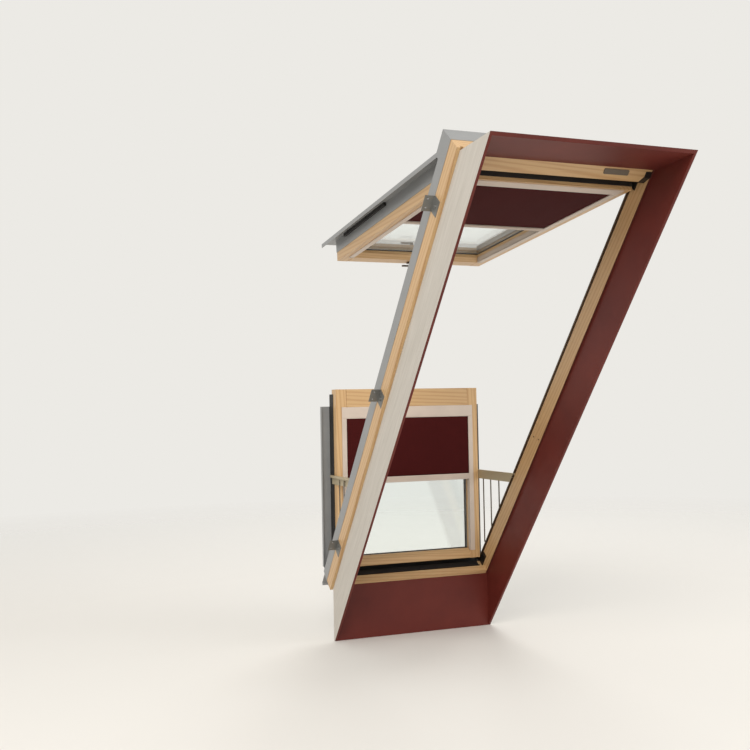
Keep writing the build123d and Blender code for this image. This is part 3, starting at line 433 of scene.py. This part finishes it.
upper_run = Vector((0, -math.cos(UPPER_RISE), math.sin(UPPER_RISE)))
upper_out = Vector((0, math.sin(UPPER_RISE), math.cos(UPPER_RISE)))
cloths = (("upper", upper_cloth, upper_run, upper_out),
          ("lower", lower_cloth, Vector((0, 0, 1)), Vector((0, 1, 0))))
for sash, material, run, out in cloths:
    node = sash + "_blind_fabric"
    sheet, corner, length, width = cloth_sheet(sash + "_blind_cloth", node, material, run, out)
    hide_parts(node)
    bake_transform(sheet)


# The frame sides' inner faces, and the foot of the frame on the roof's line
side_low, side_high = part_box("frame_side_right")
frame_foot = Vector((0, side_high[1] - FRAME_EDGE * math.cos(SLOPE) - FRAME_DEEP * math.sin(SLOPE),
                     side_low[2] + FRAME_EDGE * math.sin(SLOPE)))


def screw_heads(name, hand, places, material):
    """Domed heads with a six-lobed socket, on faces that look toward the middle of the window."""
    form = bmesh.new()
    for along, depth, radius, proud in places:
        centre = frame_foot + UP_SLOPE * along + OUT_OF_ROOF * depth
        centre.x = hand * (side_low[0] - proud)
        rings = []
        for share, rise, lobe in HEAD_RINGS:
            ring = []
            for step in range(HEAD_STEPS):
                angle = 2 * math.pi * step / HEAD_STEPS
                reach = radius * (share + lobe * math.cos(SOCKET_LOBES * angle))
                upward = UP_SLOPE * (reach * math.cos(angle))
                outward = OUT_OF_ROOF * (reach * math.sin(angle))
                point = centre + upward + outward
                point.x -= hand * radius * rise
                ring.append(form.verts.new(point))
            rings.append(ring)
        for outer, inner in zip(rings, rings[1:]):
            for step in range(HEAD_STEPS):
                after = (step + 1) % HEAD_STEPS
                form.faces.new((outer[step], outer[after], inner[after], inner[step]))
        form.faces.new(rings[-1])
        form.faces.new(list(reversed(rings[0])))
    bmesh.ops.recalc_face_normals(form, faces=form.faces)
    heads = shown(name, form, material)
    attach(heads, "frame")


def skirt_end(name, hand, material):
    """A rubber end that carries the drip skirt on to the corner of the sash."""
    low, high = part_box("lower_edge_seals")
    outline = ((0.0, 0.0), (SKIRT_REACH - SKIRT_CORNER, 0.0), (SKIRT_REACH, SKIRT_CORNER),
               (SKIRT_REACH, SKIRT_FALL), (0.0, SKIRT_FALL))
    form = bmesh.new()
    form.faces.new([form.verts.new((hand * (SKIRT_FROM + x), high[1] - SKIRT_THICK, low[2] + z))
                    for x, z in outline])
    extruded = bmesh.ops.extrude_face_region(form, geom=list(form.faces))
    moved = [piece for piece in extruded["geom"] if isinstance(piece, bmesh.types.BMVert)]
    bmesh.ops.translate(form, verts=moved, vec=(0, SKIRT_THICK, 0))
    bmesh.ops.recalc_face_normals(form, faces=form.faces)
    end = shown(name, form, material)
    edges = end.modifiers.new("edges", "BEVEL")
    edges.width = SKIRT_ROUNDING
    edges.segments = 2
    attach(end, "lower_sash")


for side, hand in (("left", -1), ("right", 1)):
    screw_heads("side_screws_" + side, hand, SIDE_SCREWS, hinge_metal)
    skirt_end("skirt_end_" + side, hand, seal)


def floor_disc():
    """A pale floor that fades out before its edge."""
    look = Look("floor_pale", tone(226, 223, 217), 0.75)
    coords = look.add("TexCoord").outputs["Object"]
    reach = look.add("VectorMath", {0: coords}, operation="LENGTH").outputs["Value"]
    fade = look.grey(reach, 1.0, 0.0, FADE_FROM, FADE_TO)
    gone = look.add("BsdfTransparent").outputs[0]
    blend = look.add("MixShader", {0: fade, 1: gone, 2: look.shader.outputs[0]}).outputs[0]
    look.set(look.tree.nodes["Material Output"], "Surface", blend)
    form = bmesh.new()
    bmesh.ops.create_circle(form, cap_ends=True, radius=FLOOR_RADIUS, segments=96)
    disc = shown("floor", form, look.material)
    disc.location = FLOOR_AT
    return disc


floor_disc()


def area_lamp(name, place, size, power, colour=(1, 1, 1), mirrored=True):
    """A round soft lamp toward the middle. One that isn't mirrored gives no image of itself in the panes."""
    lamp = bpy.data.lights.new(name, "AREA")
    lamp.shape = "DISK"
    lamp.size = size
    lamp.energy = power
    lamp.color = colour
    holder = bpy.data.objects.new(name, lamp)
    holder.location = place
    holder.visible_glossy = mirrored
    holder.visible_transmission = mirrored
    holder.rotation_euler = (Vector(MIDDLE) - Vector(place)).to_track_quat("-Z", "Y").to_euler()
    bpy.context.collection.objects.link(holder)


area_lamp("key", (-5.5, -8.0, 7.5), 7.0, 800, (1.0, 0.97, 0.93))
area_lamp("fill", (6.4, -5.8, 5.2), 6.0, 220, (0.95, 0.97, 1.0))
area_lamp("outside", (3.4, 5.6, 8.2), 5.0, 380, mirrored=False)


def studio_world():
    """Soft light from all round, and a plain pale colour where a view, mirror or pane looks out."""
    world = bpy.data.worlds.new("studio")
    world.use_nodes = True
    tree = world.node_tree
    tree.nodes.clear()

    def background(colour, strength):
        node = tree.nodes.new("ShaderNodeBackground")
        node.inputs["Color"].default_value = colour
        node.inputs["Strength"].default_value = strength
        return node.outputs[0]

    def either(first, second):
        node = tree.nodes.new("ShaderNodeMath")
        node.operation = "MAXIMUM"
        tree.links.new(first, node.inputs[0])
        tree.links.new(second, node.inputs[1])
        return node.outputs[0]

    rays = tree.nodes.new("ShaderNodeLightPath").outputs
    looks_out = either(either(rays["Is Camera Ray"], rays["Is Glossy Ray"]), rays["Is Transmission Ray"])
    choose = tree.nodes.new("ShaderNodeMixShader")
    tree.links.new(looks_out, choose.inputs[0])
    tree.links.new(background(AMBIENT_COLOUR, AMBIENT_STRENGTH), choose.inputs[1])
    tree.links.new(background(tone(*SEEN_COLOUR), 1.0), choose.inputs[2])
    output = tree.nodes.new("ShaderNodeOutputWorld")
    tree.links.new(choose.outputs[0], output.inputs["Surface"])
    return world


def photo_camera():
    """A camera that stands where the photograph was taken from."""
    ahead = Vector((math.sin(YAW) * math.cos(PITCH), math.cos(YAW) * math.cos(PITCH), math.sin(PITCH)))
    level = Vector((math.cos(YAW), -math.sin(YAW), 0))
    upward = level.cross(ahead)
    right = level * math.cos(ROLL) + upward * math.sin(ROLL)
    above = -level * math.sin(ROLL) + upward * math.cos(ROLL)
    lens = bpy.data.cameras.new("camera")
    lens.sensor_width = SENSOR_WIDE
    lens.lens = FOCAL_PIXELS * SENSOR_WIDE / PICTURE_PIXELS
    lens.clip_start = 0.05
    lens.clip_end = 100
    camera = bpy.data.objects.new("camera", lens)
    turn = Matrix((right, above, -ahead)).transposed().to_4x4()
    camera.matrix_world = Matrix.Translation(CAMERA_AT) @ turn
    bpy.context.collection.objects.link(camera)
    return camera


bpy.context.scene.world = studio_world()
bpy.context.scene.camera = photo_camera()
bpy.context.scene.view_settings.view_transform = "Standard"
